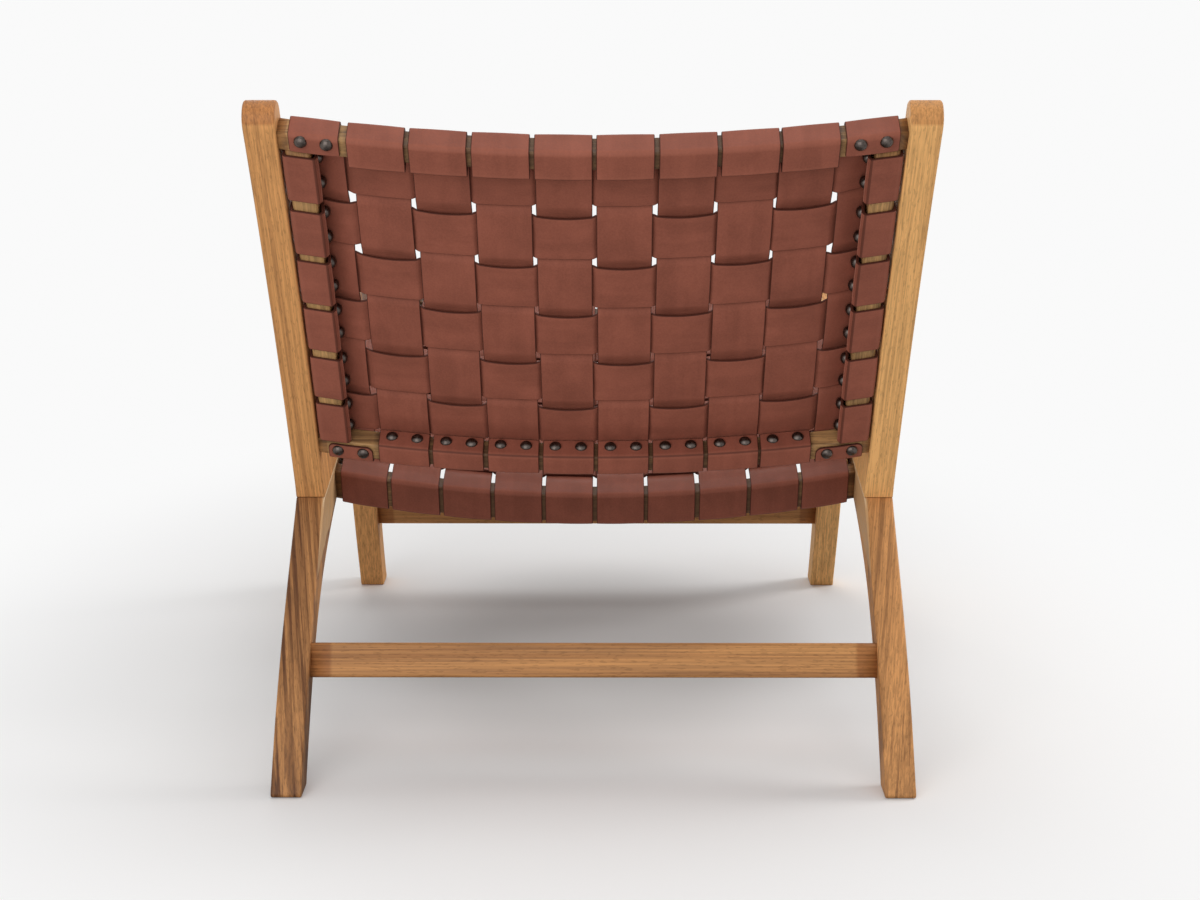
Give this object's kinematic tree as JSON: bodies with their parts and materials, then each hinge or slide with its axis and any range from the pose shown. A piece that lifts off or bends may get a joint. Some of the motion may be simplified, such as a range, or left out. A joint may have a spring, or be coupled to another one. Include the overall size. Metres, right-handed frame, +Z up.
{
  "type": "lounge chair",
  "caption": "Low reclined lounge chair: a raked wood frame whose seat and back are flat leather straps woven over bowed rails. Seats one person.",
  "frame": {"origin": "on the floor, under the middle of the chair's bounding box", "axes": "+Z up, +Y towards the front of the seat, +X to the sitter's right"},
  "size_m": [0.65, 0.8472, 0.6939],
  "materials": {
    "teak": "oiled, satin",
    "strap_leather": "smooth grain, low sheen",
    "nail_bronze": "dark bronze patina"
  },
  "bodies": {
    "root": {"side_frame_left": "teak", "back_post_left": "teak", "front_leg_left": "teak", "post_tenon_left": "teak", "front_leg_tenon_left": "teak", "back_stile_left": "teak", "seat_stile_left": "teak", "side_frame_right": "teak", "back_post_right": "teak", "front_leg_right": "teak", "post_tenon_right": "teak", "front_leg_tenon_right": "teak", "back_stile_right": "teak", "seat_stile_right": "teak", "rear_stretcher": "teak", "front_stretcher": "teak", "back_top_rail": "teak", "back_bottom_rail": "teak", "seat_front_rail": "teak", "seat_rear_rail": "teak", "back_strap_long_1": "strap_leather", "back_strap_long_2": "strap_leather", "back_strap_long_3": "strap_leather", "back_strap_long_4": "strap_leather", "back_strap_long_5": "strap_leather", "back_strap_long_6": "strap_leather", "back_strap_long_7": "strap_leather", "back_strap_long_8": "strap_leather", "back_strap_long_9": "strap_leather", "back_strap_long_10": "strap_leather", "back_strap_cross_1": "strap_leather", "back_strap_cross_2": "strap_leather", "back_strap_cross_3": "strap_leather", "back_strap_cross_4": "strap_leather", "back_strap_cross_5": "strap_leather", "back_strap_cross_6": "strap_leather", "seat_strap_long_1": "strap_leather", "seat_strap_long_2": "strap_leather", "seat_strap_long_3": "strap_leather", "seat_strap_long_4": "strap_leather", "seat_strap_long_5": "strap_leather", "seat_strap_long_6": "strap_leather", "seat_strap_long_7": "strap_leather", "seat_strap_long_8": "strap_leather", "seat_strap_long_9": "strap_leather", "seat_strap_long_10": "strap_leather", "seat_strap_cross_1": "strap_leather", "seat_strap_cross_2": "strap_leather", "seat_strap_cross_3": "strap_leather", "seat_strap_cross_4": "strap_leather", "seat_strap_cross_5": "strap_leather", "seat_strap_cross_6": "strap_leather", "seat_strap_cross_7": "strap_leather"}
  },
  "joints": []
}
